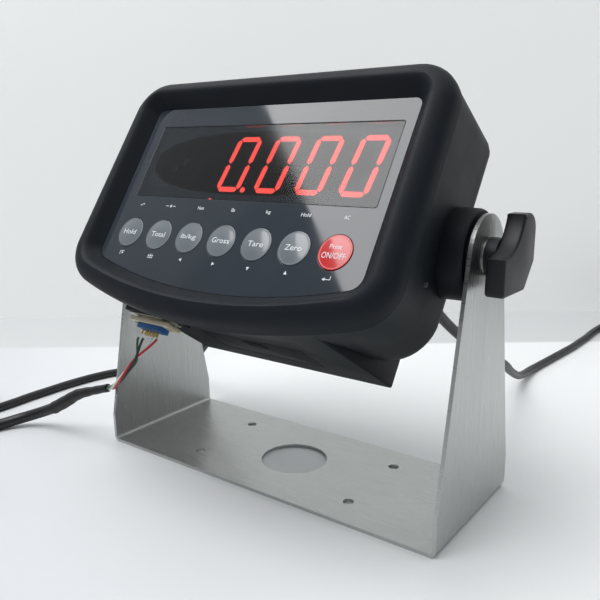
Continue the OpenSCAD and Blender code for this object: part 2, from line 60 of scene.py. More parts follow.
def turned(degrees, axis):
    return Matrix.Rotation(math.radians(degrees), 4, axis)


# ---- sizes shared with the CAD model, in millimetres ----

PIVOT_H = 137
LEAN = 34
TABLE = Matrix()
HEAD = Matrix.Translation((0, 0, PIVOT_H * MM)) @ turned(90 - LEAN, "X")

BEZEL_BACK_N = 46
CREST_N = 59.5
CREST_R = 10.5
PLATE_N = 46.5
MEMBRANE_N = 49
OVERLAY_N = 49.9
PANEL_N = 51.1
REAR_RIM_N = 45.4
BACK_N = -18
FOOT_FRONT_N = 34
FOOT_BACK_N = -41
FOOT_V = -63.5
WALL = 2.8
HOUSING_SCREWS = [(u, v) for u in (-84, 84) for v in (-36, 58)]
BOARD_POSTS = [(u, v) for u in (-74, 74) for v in (-41, 46)]

BOSS_R = 22.5
BOSS_FACE_R = 21.5
BOSS_U = 111
BOSS_IN = 84
BOSS_WALL = 4
INSERT_IN = 97

KEY_PITCH = 22.6
KEY_R = 8.75
KEY_V = -27.8
KEY_DOME_R = 7.6
KEY_DOME_N = 51.95
SIGN_V = -40.4
LABEL_V = -10.4
WINDOW_MID_U = 2.25
WINDOW_HALF_W = 78.75
WINDOW_LOW_V = -5
WINDOW_TOP_V = 40

KNOB_U = 116
GRIP_U = 121
GRIP_T = 9

PLUG_U = -56
PLUG_N = 20
PAD_V = -66
JACK_U = 12.5
CUP_PITCH = 2.76
CUP_ROW_V = 1.42
GLAND_U = 75
GLAND_V = -14

MAINS_D = 6
SERIAL_D = 6
LOAD_D = 7.5
WIRE_D = 1.4
WIRE_COLORS = {"green": (22, 92, 62), "black": (30, 31, 33), "white": (226, 224, 216), "red": (178, 34, 40)}

# ---- camera ----


def make_camera():
    data = bpy.data.cameras.new("camera")
    data.sensor_width = 36
    data.lens = 41.09
    data.shift_x = 0.0074
    data.shift_y = 0.0252
    camera = bpy.data.objects.new("camera", data)
    camera.location = (0.2328, -0.3075, 0.1897)
    camera.rotation_euler = [math.radians(a) for a in (75.84, 0.63, 36.71)]
    bpy.context.collection.objects.link(camera)
    bpy.context.scene.camera = camera


# ---- materials ----


class Nodes:
    """A material's node tree, with short calls for the nodes that this scene uses."""

    def __init__(self, name):
        self.material = bpy.data.materials.new(name)
        self.material.use_nodes = True
        self.tree = self.material.node_tree
        self.shader = self.tree.nodes["Principled BSDF"]
        self.places = self.add("ShaderNodeTexCoord").outputs["Object"]

    def add(self, kind, **values):
        node = self.tree.nodes.new(kind)
        for key, value in values.items():
            setattr(node, key, value)
        return node

    def link(self, output, socket):
        self.tree.links.new(output, socket)

    def feed(self, name, value):
        """Sets a shader socket, or links it if value is another node's output."""
        socket = self.shader.inputs[name]
        if isinstance(value, bpy.types.NodeSocket):
            self.link(value, socket)
        else:
            socket.default_value = value

    def noise(self, scale, detail=3, stretch=(1, 1, 1)):
        mapping = self.add("ShaderNodeMapping")
        mapping.inputs["Scale"].default_value = stretch
        self.link(self.places, mapping.inputs["Vector"])
        noise = self.add("ShaderNodeTexNoise")
        noise.inputs["Scale"].default_value = scale
        noise.inputs["Detail"].default_value = detail
        self.link(mapping.outputs["Vector"], noise.inputs["Vector"])
        return noise.outputs["Fac"]

    def spread(self, value, low, high, start=0.3, end=0.7):
        """Maps value from start..end to low..high."""
        node = self.add("ShaderNodeMapRange")
        self.link(value, node.inputs["Value"])
        for name, number in zip(("From Min", "From Max", "To Min", "To Max"), (start, end, low, high)):
            node.inputs[name].default_value = number
        return node.outputs["Result"]

    def tint(self, value, dark, light):
        """Mixes two colours by value, which runs from 0 to 1."""
        node = self.add("ShaderNodeMix", data_type="RGBA")
        self.link(value, node.inputs["Factor"])
        for index, color in ((6, dark), (7, light)):
            if isinstance(color, bpy.types.NodeSocket):
                self.link(color, node.inputs[index])
            else:
                node.inputs[index].default_value = (*color, 1)
        return node.outputs[2]

    def plane_places(self):
        """The two outputs that run along the object's x and y."""
        split = self.add("ShaderNodeSeparateXYZ")
        self.link(self.places, split.inputs[0])
        return split.outputs[0], split.outputs[1]

    def maths(self, operation, a, b=0.0):
        node = self.add("ShaderNodeMath", operation=operation)
        for socket, value in zip(node.inputs, (a, b)):
            if isinstance(value, bpy.types.NodeSocket):
                self.link(value, socket)
            else:
                socket.default_value = value
        return node.outputs[0]

    def bump(self, height, strength, distance=0.00005):
        node = self.add("ShaderNodeBump")
        node.inputs["Strength"].default_value = strength
        node.inputs["Distance"].default_value = distance
        self.link(height, node.inputs["Height"])
        self.feed("Normal", node.outputs["Normal"])


def linear(red, green, blue):
    """A colour from 0 to 255 as seen on a screen, as linear light."""
    return tuple((c / 255) ** 2.2 for c in (red, green, blue))


def shade(color, factor):
    return tuple(min(1.0, c * factor) for c in color)


def plastic(name, color, rough, grain, bump, vary, coat=0.0, shine=0.5):
    """Moulded plastic: a fine grain, faint patches of tone and an uneven sheen."""
    nodes = Nodes(name)
    fine = nodes.noise(grain, 2)
    broad = nodes.noise(40, 4)
    tone = nodes.tint(nodes.spread(broad, 0, 1), shade(color, 1 - vary), shade(color, 1 + vary))
    nodes.feed("Base Color", tone)
    nodes.feed("Roughness", nodes.spread(broad, rough - 0.04, rough + 0.05))
    nodes.feed("Specular IOR Level", shine)
    nodes.feed("Coat Weight", coat)
    nodes.feed("Coat Roughness", 0.08)
    nodes.bump(fine, bump)
    return nodes.material


def metal(name, color, rough, stretch, scale, bump, vary):
    """Bare metal, with scratches drawn out along the axis where stretch is smallest."""
    nodes = Nodes(name)
    lines = nodes.noise(scale, 4, stretch)
    stains = nodes.noise(18, 3)
    dull = nodes.tint(nodes.spread(stains, 0, 1), shade(color, 1 - vary / 2), shade(color, 1 + vary / 2))
    nodes.feed("Base Color", nodes.tint(nodes.spread(lines, 0, vary * 2), dull, shade(color, 0.75)))
    nodes.feed("Metallic", 1.0)
    nodes.feed("Roughness", nodes.spread(lines, rough - 0.06, rough + 0.08))
    nodes.bump(lines, bump, 0.00002)
    return nodes.material


def glowing(name, color, light, strength):
    """A lit diffuser, with a soft and uneven grain in its light."""
    nodes = Nodes(name)
    grain = nodes.noise(700, 2)
    nodes.feed("Base Color", (*color, 1))
    nodes.feed("Roughness", 0.4)
    nodes.feed("Emission Color", nodes.tint(nodes.spread(grain, 0, 1), shade(light, 0.85), light))
    nodes.feed("Emission Strength", strength)
    return nodes.material


def window_film():
    """The smoked window: clear enough to see the digits, and darker inside its printed oval."""
    half_w, half_h, centre_v = 71.5, 18.8, 17.2
    fullness_u, fullness_v = 2.5, 2.22
    nodes = Nodes("window_film")
    x, y = nodes.plane_places()
    across = nodes.maths("ABSOLUTE", nodes.maths("DIVIDE", x, half_w * MM))
    up = nodes.maths("DIVIDE", nodes.maths("SUBTRACT", y, centre_v * MM), half_h * MM)
    sideways = nodes.maths("POWER", across, fullness_u)
    upwards = nodes.maths("POWER", nodes.maths("ABSOLUTE", up), fullness_v)
    reach = nodes.maths("ADD", sideways, upwards)
    outside = nodes.spread(reach, 0, 1, 0.99, 1.01)
    dust = nodes.noise(60, 3)
    printed = nodes.tint(nodes.spread(dust, 0, 1), linear(37, 42, 47), linear(40, 45, 50))
    nodes.feed("Base Color", nodes.tint(outside, linear(4, 6, 8), printed))
    nodes.feed("Alpha", 0.72)
    nodes.feed("Roughness", 0.09)
    nodes.feed("IOR", 1.6)
    return nodes.material


def overlay_film():
    """The printed overlay: grey-blue ink under a gloss film that isn't quite flat."""
    nodes = Nodes("overlay_film")
    dust = nodes.noise(45, 4)
    nodes.feed("Base Color", nodes.tint(nodes.spread(dust, 0, 1), linear(44, 51, 59), linear(47, 54, 62)))
    nodes.feed("Roughness", nodes.spread(nodes.noise(30, 2), 0.04, 0.07))
    nodes.feed("IOR", 1.6)
    nodes.bump(nodes.noise(14, 2), 0.05, 0.0004)
    return nodes.material


# colour on a screen, roughness, grain scale, bump, change of tone, coat, shine
PLASTICS = {
    "housing": ((22, 27, 33), 0.56, 1500, 0.3, 0.1, 0, 0.22),
    "gasket": ((18, 18, 19), 0.7, 800, 0.2, 0.1),
    "membrane": ((205, 204, 190), 0.4, 400, 0.1, 0.05),
    "digit_body": ((28, 30, 33), 0.9, 700, 0, 0.06),
    "segment_dark": ((44, 46, 49), 0.8, 700, 0, 0.06),
    "led_red": ((110, 22, 20), 0.35, 500, 0.1, 0.1),
    "lamp_grey": ((215, 218, 222), 0.35, 400, 0.1, 0.05),
    "circuit_board": ((22, 92, 52), 0.4, 300, 0.3, 0.2),
    "buzzer_black": ((28, 28, 30), 0.4, 900, 0.25, 0.12),
    "winding": ((204, 166, 70), 0.35, 300, 0.2, 0.1),
    "battery_wrap": ((40, 84, 150), 0.25, 200, 0.1, 0.08),
    "knob": ((20, 22, 26), 0.4, 700, 0.3, 0.1, 0, 0.35),
    "plug_body": ((206, 198, 170), 0.45, 500, 0.2, 0.06),
    "insulator_blue": ((26, 88, 148), 0.4, 500, 0.2, 0.1),
    "key_grey": ((104, 111, 117), 0.22, 300, 0.06, 0.05, 0.6),
    "key_red": ((200, 40, 40), 0.22, 300, 0.06, 0.05, 0.6),
    "sleeve": ((20, 21, 23), 0.5, 500, 0.3, 0.1),
    "cable_black": ((22, 24, 27), 0.42, 700, 0.25, 0.1),
    "hood_grey": ((72, 73, 76), 0.5, 500, 0.3, 0.08),
    "mains_plug_black": ((34, 35, 37), 0.42, 600, 0.25, 0.1),
    "legend": ((222, 226, 230), 0.3, 500, 0.05, 0.02),
}
PLASTICS |= {f"wire_{name}": (color, 0.35, 600, 0.1, 0.08) for name, color in WIRE_COLORS.items()}

# colour on a screen, roughness, stretch and scale of the scratches, bump, change of tone
METALS = {
    "stainless": ((182, 184, 182), 0.3, (30, 2600, 30), 1, 0.06, 0.05),
    "dome_metal": ((200, 200, 198), 0.2, (1, 1, 1), 500, 0.1, 0.1),
    "fastener": ((178, 178, 176), 0.3, (1, 1, 1), 300, 0.1, 0.1),
    "core_steel": ((112, 114, 118), 0.45, (1, 1, 40), 60, 0.4, 0.1),
    "brass": ((196, 168, 104), 0.3, (1, 1, 1), 300, 0.1, 0.1),
    "connector_shell": ((198, 196, 188), 0.28, (1, 1, 1), 250, 0.1, 0.1),
    "gold": ((205, 186, 128), 0.3, (1, 1, 1), 300, 0.1, 0.1),
    "connector_metal": ((196, 197, 199), 0.22, (1, 1, 1), 250, 0.1, 0.1),
}


def make_materials():
    materials = {
        "overlay": overlay_film(),
        "lens": window_film(),
        "segment_lit": glowing("segment_lit", linear(150, 20, 16), (1.0, 0.085, 0.07), 14.0),
    }
    for maker, table in ((plastic, PLASTICS), (metal, METALS)):
        materials |= {name: maker(name, linear(*color), *rest) for name, (color, *rest) in table.items()}
    return materials


# ---- shapes: a shape is (points, faces), in millimetres ----


def arc(x, y, r, start, end, steps):
    """Points on an arc, from angle start to angle end in degrees, both ends included."""
    angles = [math.radians(start + (end - start) * i / steps) for i in range(steps + 1)]
    return [(x + r * math.cos(a), y + r * math.sin(a)) for a in angles]


def shield(w_top, w_low, top, low, r_top, r_low, bow, inset=0):
    """A straight top, drafted sides and a bottom edge bowed to the angle bow at its ends."""
    sine, cosine = math.sin(math.radians(bow)), math.cos(math.radians(bow))
    wt, wl = w_top - r_top, w_low - r_low
    big = (wl + r_low * sine) / sine
    corner = low + big * (1 - cosine) + r_low * cosine
    rt, rl, rb = r_top - inset, r_low - inset, big - inset
    return (
        arc(wt, top - r_top, rt, 0, 90, 10)
        + arc(-wt, top - r_top, rt, 90, 180, 10)
        + arc(-wl, corner, rl, 180, 270 - bow, 10)
        + arc(0, low + big, rb, 270 - bow + bow / 12, 270 + bow - bow / 12, 24)
        + arc(wl, corner, rl, 270 + bow, 360, 10)
    )


def bezel_outline(inset=0):
    return shield(103, 104, 69.5, -72.5, 22, 22, 16, inset)


def panel_outline(grow=0):
    return shield(86.4, 86.4, 52.6, -56, 4.5, 8, 15.5, -grow)


def back_outline(inset=0):
    return shield(95.2, 95.2, 73, -58, 10, 25, 3, inset)


def round_box(half_w, low, top, r_low, r_top=None, steps=6):
    """A rounded rectangle centred on x = 0."""
    r_top = r_low if r_top is None else r_top
    return (
        arc(half_w - r_top, top - r_top, r_top, 0, 90, steps)
        + arc(r_top - half_w, top - r_top, r_top, 90, 180, steps)
        + arc(r_low - half_w, low + r_low, r_low, 180, 270, steps)
        + arc(half_w - r_low, low + r_low, r_low, 270, 360, steps)
    )


def between(a, b, share):
    """The outline that lies a share of the way from outline a to outline b."""
    return [(p[0] + (q[0] - p[0]) * share, p[1] + (q[1] - p[1]) * share) for p, q in zip(a, b)]


def shrunk(outline, d):
    """The outline moved inwards by d, along the mean normal at each point."""
    count = len(outline)
    result = []
    for i, (x, y) in enumerate(outline):
        ax, ay = outline[i - 1]
        bx, by = outline[(i + 1) % count]
        tangent = Vector((bx - ax, by - ay)).normalized()
        result.append((x - tangent.y * d, y + tangent.x * d))
    return result


def raised(outline, n):
    return [(x, y, n) for x, y in outline]


def shifted_outline(outline, x, y):
    return [(a + x, b + y) for a, b in outline]


def loft(rings, closed=False):
    """Skins rings of equal point counts; both ends are capped unless the loft is closed on itself."""
    count = len(rings[0])
    points = [p for r in rings for p in r]
    spans = len(rings) if closed else len(rings) - 1
    faces = []
    for i in range(spans):
        a, b = i * count, (i + 1) % len(rings) * count
        for k in range(count):
            j = (k + 1) % count
            faces.append((a + k, a + j, b + j, b + k))
    if not closed:
        faces.append(tuple(range(count - 1, -1, -1)))
        faces.append(tuple(range(len(points) - count, len(points))))
    return points, faces


def slab(outline, low, high, edge=0.4, steps=3):
    """A plate with rounded edges."""
    turns = [math.radians(90 * i / steps) for i in range(steps + 1)]
    gaps = [(edge * (1 - math.sin(a)), edge * (1 - math.cos(a))) for a in turns]
    lower = [raised(shrunk(outline, side), low + end) for side, end in gaps]
    upper = [raised(shrunk(outline, end), high - side) for side, end in gaps]
    return loft(lower + upper)


def lathe(profile, sides=48, ripple=None):
    """Turns (radius, height) pairs round the z axis; ripple(angle, height) scales the radius."""
    rings = []
    for r, h in profile:
        ring = []
        for k in range(sides):
            a = 2 * math.pi * k / sides
            s = ripple(a, h) if ripple else 1
            ring.append((max(r, 0.01) * s * math.cos(a), max(r, 0.01) * s * math.sin(a), h))
        rings.append(ring)
    return loft(rings)


def pipe(outer, inner, low, high, sides=48):
    """A tube wall round the z axis, closed on itself."""
    rings = [[(r * x, r * y, h) for x, y in arc(0, 0, 1, 0, 360 * (sides - 1) / sides, sides - 1)]
             for r, h in ((outer, low), (outer, high), (inner, high), (inner, low))]
    return loft(rings, closed=True)


def moved(shape, matrix):
    points, faces = shape
    return [tuple(matrix @ Vector(p)) for p in points], faces


def shifted(shape, x=0, y=0, z=0):
    return moved(shape, Matrix.Translation((x, y, z)))


def joined(*shapes):
    points, faces = [], []
    for some_points, some_faces in shapes:
        base = len(points)
        points += some_points
        faces += [tuple(base + i for i in f) for f in some_faces]
    return points, faces


ALONG_U = turned(90, "Y")
TO_LEFT = Matrix.Scale(-1, 4, (1, 0, 0))


def on_both_sides(shape):
    return shape, moved(shape, TO_LEFT)


def smooth(points, steps=4):
    """A Catmull-Rom curve through the points."""
    path = []
    padded = [points[0], *points, points[-1]]
    for i in range(len(points) - 1):
        p0, p1, p2, p3 = (Vector(p) for p in padded[i : i + 4])
        for k in range(steps):
            t = k / steps
            square = (2 * p0 - 5 * p1 + 4 * p2 - p3) * t * t
            cube = (3 * p1 - p0 - 3 * p2 + p3) * t ** 3
            path.append(0.5 * (2 * p1 + (p2 - p0) * t + square + cube))
    return path + [Vector(points[-1])]


def resting(path, d):
    """The path lifted wherever a cord of diameter d would sink into the table."""
    return [Vector((p.x, p.y, max(p.z, d / 2))) for p in path]


def sweep(path, radii, sides=14):
    """A closed round tube along the path, without twist."""
    if not hasattr(radii, "__len__"):
        radii = [radii] * len(path)
    rings = []
    side = None
    for i, p in enumerate(path):
        ahead = (path[min(i + 1, len(path) - 1)] - path[max(i - 1, 0)]).normalized()
        if side is None:
            side = ahead.cross(Vector((0, 0, 1)) if abs(ahead.z) < 0.9 else Vector((1, 0, 0)))
        side = (side - ahead * side.dot(ahead)).normalized()
        up = ahead.cross(side)
        angles = [2 * math.pi * k / sides for k in range(sides)]
        rings.append([tuple(p + radii[i] * (side * math.cos(a) + up * math.sin(a))) for a in angles])
    return loft(rings)


# ---- making pieces ----


def make_mesh(name, shape, sharp=32):
    points, faces = shape
    mesh = bpy.data.meshes.new(name)
    mesh.from_pydata([Vector(p) * MM for p in points], [], faces)
    finish_mesh(mesh, sharp)
    return mesh


def finish_mesh(mesh, sharp):
    """Welds the mesh, turns its faces outwards and shades it smooth, with creases past an angle."""
    work = bmesh.new()
    work.from_mesh(mesh)
    bmesh.ops.remove_doubles(work, verts=work.verts, dist=0.002 * MM)
    bmesh.ops.recalc_face_normals(work, faces=work.faces)
    work.to_mesh(mesh)
    work.free()
    mesh.shade_smooth()
    mesh.set_sharp_from_angle(angle=math.radians(sharp))


def mesh_of(source):
    """The mesh of an object with its modifiers applied, or of a curve or text."""
    return bpy.data.meshes.new_from_object(source.evaluated_get(bpy.context.evaluated_depsgraph_get()))


def scaled_place(matrix):
    """A placing in millimetres as one in metres."""
    place = matrix.copy()
    place.translation = place.translation * MM
    return place


def add_object(name, mesh, place):
    piece = bpy.data.objects.new(name, mesh)
    bpy.context.collection.objects.link(piece)
    piece.matrix_world = place
    return piece


def claim(piece, finish, body, nodes=()):
    """Gives a piece its material and its body, and hides the CAD nodes that it stands for."""
    if not piece.data.materials:
        piece.data.materials.append(MATERIALS[finish])
    if body:
        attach(piece, body)
    if nodes:
        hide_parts(*nodes)
    return piece


def make(name, shape, finish, body, nodes=(), place=TABLE, sharp=32):
    return claim(add_object(name, make_mesh(name, shape, sharp), place), finish, body, nodes)


def carved(name, base, steps, sharp=32):
    """The base shape after a list of (operation, shape) booleans."""
    body = add_object(name, make_mesh(name, base), TABLE)
    tools = []
    for operation, shape in steps:
        tool = add_object(name + "_tool", make_mesh(name + "_tool", shape), TABLE)
        cut = body.modifiers.new(operation, "BOOLEAN")
        cut.operation = operation
        cut.solver = "EXACT"
        cut.object = tool
        tools.append(tool)
    mesh = mesh_of(body)
    for spare in (body, *tools):
        bpy.data.objects.remove(spare)
    mesh.name = name
    mesh.materials.clear()
    finish_mesh(mesh, sharp)
    return mesh


def dress(finish, *nodes):
    """Gives CAD nodes a procedural material."""
    for node in nodes:
        for material_slot in frame["nodes"][node].material_slots:
            material_slot.material = MATERIALS[finish]


# ---- head: shells ----


def make_front_shell():
    last_turn = 75
    rings = [raised(bezel_outline(), BEZEL_BACK_N), raised(bezel_outline(), CREST_N - CREST_R)]
    for turn in range(15, last_turn + 1, 10):
        a = math.radians(turn)
        outline = bezel_outline(CREST_R * (1 - math.cos(a)))
        rings.append(raised(outline, CREST_N - CREST_R * (1 - math.sin(a))))
    outer_crest = bezel_outline(CREST_R * (1 - math.cos(math.radians(last_turn))))
    rings.append(raised(between(outer_crest, panel_outline(6.6), 0.5), CREST_N - 0.1))
    for grow, depth in ((6.6, 0.5), (5.7, 1.2), (4.6, 2.4), (3.2, 4.4), (0.5, 7.7)):
        rings.append(raised(panel_outline(grow), CREST_N - depth))
    rings.append(raised(panel_outline(0), PANEL_N + 0.1))
    rings.append(raised(panel_outline(0), MEMBRANE_N))
    opening = shield(82, 82, 42.3, -6, 0.8, 0.8, 1)
    rings += [raised(opening, MEMBRANE_N), raised(opening, PLATE_N)]
    rings += [raised(bezel_outline(WALL), PLATE_N), raised(bezel_outline(WALL), BEZEL_BACK_N)]
    shell = [loft(rings, closed=True)]
    shell += [shifted(pipe(4.5, 1.55, 42, PLATE_N + 0.2, 24), u, v) for u, v in HOUSING_SCREWS]
    shell += [shifted(pipe(3, 1.3, 31.6, PLATE_N + 0.2, 24), u, v) for u, v in BOARD_POSTS]
    make("front_bezel", joined(*shell), "housing", "head", ["front_shell"], HEAD)


def rear_loft(inset, rim_n, back_n, soft):
    """The rear shell's body, or its hollow: a rim, drafted sides and a rounded back."""
    turn_n = BACK_N + 8
    rings = [raised(bezel_outline(0.4 + inset), rim_n), raised(back_outline(inset), turn_n)]
    for turn in (30, 60, 90):
        a = math.radians(turn)
        outline = back_outline(inset + soft * (1 - math.cos(a)))
        rings.append(raised(outline, turn_n - (turn_n - back_n) * math.sin(a)))
    return loft(rings)


def foot_loft(inset, back_n):
    """The deep box behind and under the rear shell, or its hollow."""
    sections = [
        (62 - inset, FOOT_V + inset, -30 - inset, FOOT_FRONT_N - inset),
        (67 - inset, FOOT_V + inset, 48 - inset, BACK_N),
        (67.8 - inset, FOOT_V + inset, 45 - inset, back_n + 5),
        (67.3 - inset, -63.3 + inset, 43.7 - inset, back_n + 1.6),
        (65.8 - inset, -62.7 + inset, 42 - inset, back_n),
    ]
    return loft([raised(round_box(w, low, top, 1.2, 8, 5), n) for w, low, top, n in sections])


DOOR_PLACE = Matrix.Translation((-1, FOOT_V, -9.5)) @ turned(-90, "X")


def make_rear_shell():
    """The hollow rear shell, with its side bosses, connector pad, door opening and holes."""
    rim, end = BOSS_FACE_R, BOSS_U
    boss = lathe([(BOSS_R, BOSS_IN), (rim + 0.6, end - 2), (rim + 0.2, end - 0.8), (rim - 0.6, end)], 72)
    boss_hollow = lathe([(BOSS_R - BOSS_WALL, BOSS_IN + WALL), (BOSS_R - BOSS_WALL, INSERT_IN)], 48)
    bore = lathe([(5, BOSS_IN - 1), (5, BOSS_U + 1)], 32)
    pad = moved(slab(round_box(19, -9, 9, 1.5), 0, 8, 0.6),
                Matrix.Translation((PLUG_U, PAD_V, PLUG_N)) @ turned(-90, "X"))
    door = moved(slab(round_box(35.3, -13.8, 13.8, 1.2), -4, 2.4, 0.01), DOOR_PLACE)
    screw_hole = lathe([(3.4, -2), (3.4, 3)], 32)
    gland_hole = lathe([(5, -1), (5, WALL + 3)], 32)
    bosses = [("UNION", side) for side in on_both_sides(moved(boss, ALONG_U))]
    steps = [("UNION", foot_loft(0, FOOT_BACK_N)), *bosses, ("UNION", pad)]
    steps += [("DIFFERENCE", rear_loft(WALL, REAR_RIM_N + 1, BACK_N + WALL, 3))]
    steps += [("DIFFERENCE", foot_loft(WALL, FOOT_BACK_N + WALL))]
    steps += bosses
    for cut in (boss_hollow, bore):
        steps += [("DIFFERENCE", side) for side in on_both_sides(moved(cut, ALONG_U))]
    steps += [("DIFFERENCE", door)]
    steps += [("DIFFERENCE", shifted(screw_hole, u, v, BACK_N)) for u, v in HOUSING_SCREWS]
    steps += [("DIFFERENCE", shifted(gland_hole, u, GLAND_V, BACK_N)) for u in (-GLAND_U, GLAND_U)]
    mesh = carved("rear_housing", rear_loft(0, REAR_RIM_N, BACK_N, 5), steps, 28)
    claim(add_object("rear_housing", mesh, HEAD), "housing", "head", ["rear_shell"])


def make_battery_door():
    """The door in the foot's flat bottom: a lid with a finger grip of four ridges."""
    lid = slab(round_box(34.7, -13.2, 13.2, 1), 0, 2.3, 0.35)
    ridges = [shifted(slab(round_box(7, -0.5, 0.5, 0.45), -0.5, 0.3, 0.2), 0, y) for y in (-9, -7, -5, -3)]
    make("battery_lid", moved(joined(lid, *ridges), DOOR_PLACE), "housing", "head", ["battery_door"], HEAD)


def make_housing_screws():
    """Pan heads with a crossed recess, deep in the back's four counterbores."""
    head = lathe([(1.5, -60), (1.5, -1.6), (2.9, -1.6), (2.9, -0.5), (2.5, -0.12), (1.5, 0)], 32)
    slots = [loft([raised(bar(*ends, 0.5), -0.9), raised(bar(*ends, 0.8), 0.5)])
             for ends in ((-1.6, 0, 1.6, 0), (0, -1.6, 0, 1.6))]
    screw = carved("housing_screw", head, [("DIFFERENCE", slot) for slot in slots], 30)
    for number, (u, v) in enumerate(HOUSING_SCREWS, 1):
        place = HEAD @ scaled_place(Matrix.Translation((u, v, BACK_N + 0.6)) @ turned(180, "X"))
        piece = add_object(f"housing_screw_{number}", screw.copy(), place)
        claim(piece, "fastener", "head", ["housing_screws"] if number == 1 else ())


# ---- head: panel ----


def flat_sheet(name, outer, holes, low, high, edge=0.15):
    """A flat sheet with holes and slightly rounded edges, as a mesh."""
    data = bpy.data.curves.new(name, "CURVE")
    data.dimensions = "2D"
    data.fill_mode = "BOTH"
    data.extrude = ((high - low) / 2 - edge) * MM
    data.bevel_depth = edge * MM
    data.bevel_resolution = 1
    data.offset = -edge * MM
    for outline in (outer, *holes):
        line = data.splines.new("POLY")
        line.points.add(len(outline) - 1)
        line.use_cyclic_u = True
        for point, (x, y) in zip(line.points, outline):
            point.co = (x * MM, y * MM, 0, 1)
    source = add_object(name, data, TABLE)
    mesh = mesh_of(source)
    bpy.data.objects.remove(source)
    mesh.transform(Matrix.Translation((0, 0, (low + high) / 2 * MM)))
    finish_mesh(mesh, 12)
    return mesh


def key_places():
    return [k * KEY_PITCH for k in range(-3, 4)]


def make_overlay():
    """The printed film with its window and key holes, and the lens that fills the window."""
    window = shifted_outline(round_box(WINDOW_HALF_W, WINDOW_LOW_V, WINDOW_TOP_V, 1), WINDOW_MID_U, 0)
    holes = [window] + [arc(u, KEY_V, KEY_R + 0.2, 0, 352.5, 47) for u in key_places()]
    mesh = flat_sheet("panel_overlay_film", panel_outline(-0.2), holes, OVERLAY_N, PANEL_N)
    claim(add_object("panel_overlay_film", mesh, HEAD), "overlay", "head", ["panel_overlay"])
    gap = 0.1
    plate = round_box(WINDOW_HALF_W - gap, WINDOW_LOW_V + gap, WINDOW_TOP_V - gap, 1)
    lens = slab(plate, MEMBRANE_N, PANEL_N, 0.15, 2)
    make("window_film_plate", shifted(lens, WINDOW_MID_U), "lens", "head", ["display_lens"], HEAD, 12)


def key_top(r):
    """Height of a key's domed top at radius r."""
    return KEY_DOME_N - 0.5 * (r / KEY_DOME_R) ** 2


def make_key(node, u, finish):
    crown = [(KEY_DOME_R * (1 - i / 6), key_top(KEY_DOME_R * (1 - i / 6))) for i in range(7)]
    skirt = [(KEY_R - d, n) for d, n in ((0, 50.1), (0, 51.15), (0.15, 51.4), (0.45, 51.5), (0.8, 51.42))]
    shape = lathe(skirt + crown, 64)
    make(node.replace("key_", "button_"), shifted(shape, u, KEY_V), finish, node, [node], HEAD)


def lettering(name, text, width, height, at, body="head", top=None):
    """Printed letters: a thin raised mesh of a set width and height, on the panel or a key's top."""
    data = bpy.data.curves.new(name, "FONT")
    data.body = text
    data.align_x = "CENTER"
    data.align_y = "CENTER"
    data.resolution_u = 3
    data.extrude = 0.01
    data.offset = 0.003
    source = add_object(name, data, TABLE)
    mesh = mesh_of(source)
    bpy.data.objects.remove(source)
    xs = [v.co.x for v in mesh.vertices]
    ys = [v.co.y for v in mesh.vertices]
    mid_x, mid_y = (min(xs) + max(xs)) / 2, (min(ys) + max(ys)) / 2
    scale_x, scale_y = width / (max(xs) - min(xs)), height / (max(ys) - min(ys))
    for v in mesh.vertices:
        x, y = (v.co.x - mid_x) * scale_x + at[0], (v.co.y - mid_y) * scale_y + at[1]
        base = top(math.hypot(x - at[0], y - KEY_V)) if top else PANEL_N
        v.co = Vector((x, y, base + (0.05 if v.co.z > 0 else -0.02))) * MM
    finish_mesh(mesh, 32)
    return claim(add_object(name, mesh, HEAD), "legend", body)


def mark(name, outlines, at, finish="legend"):
    """A small printed sign made of filled outlines."""
    shapes = [shifted(loft([raised(o, PANEL_N - 0.02), raised(o, PANEL_N + 0.04)]), *at) for o in outlines]
    make(name, joined(*shapes), finish, "head", (), HEAD)


def bar(x0, y0, x1, y1, w=0.35):
    """A thin straight stroke as an outline."""
    along = Vector((x1 - x0, y1 - y0)).normalized()
    side = Vector((-along.y, along.x)) * w / 2
    ends = ((x0, y0, -1), (x1, y1, -1), (x1, y1, 1), (x0, y0, 1))
    return [(x + way * side.x, y + way * side.y) for x, y, way in ends]


def wave(width, height, w=0.45):
    xs = [width * (i / 12 - 0.5) for i in range(13)]
    line = [(x, height * math.sin(2 * math.pi * x / width)) for x in xs]
    return [(x, y - w / 2) for x, y in line] + [(x, y + w / 2) for x, y in reversed(line)]


def triangle(angle, r=1.15):
    turns = [math.radians(angle + a) for a in (0, 125, 235)]
    return [(r * math.cos(a), r * math.sin(a)) for a in turns]


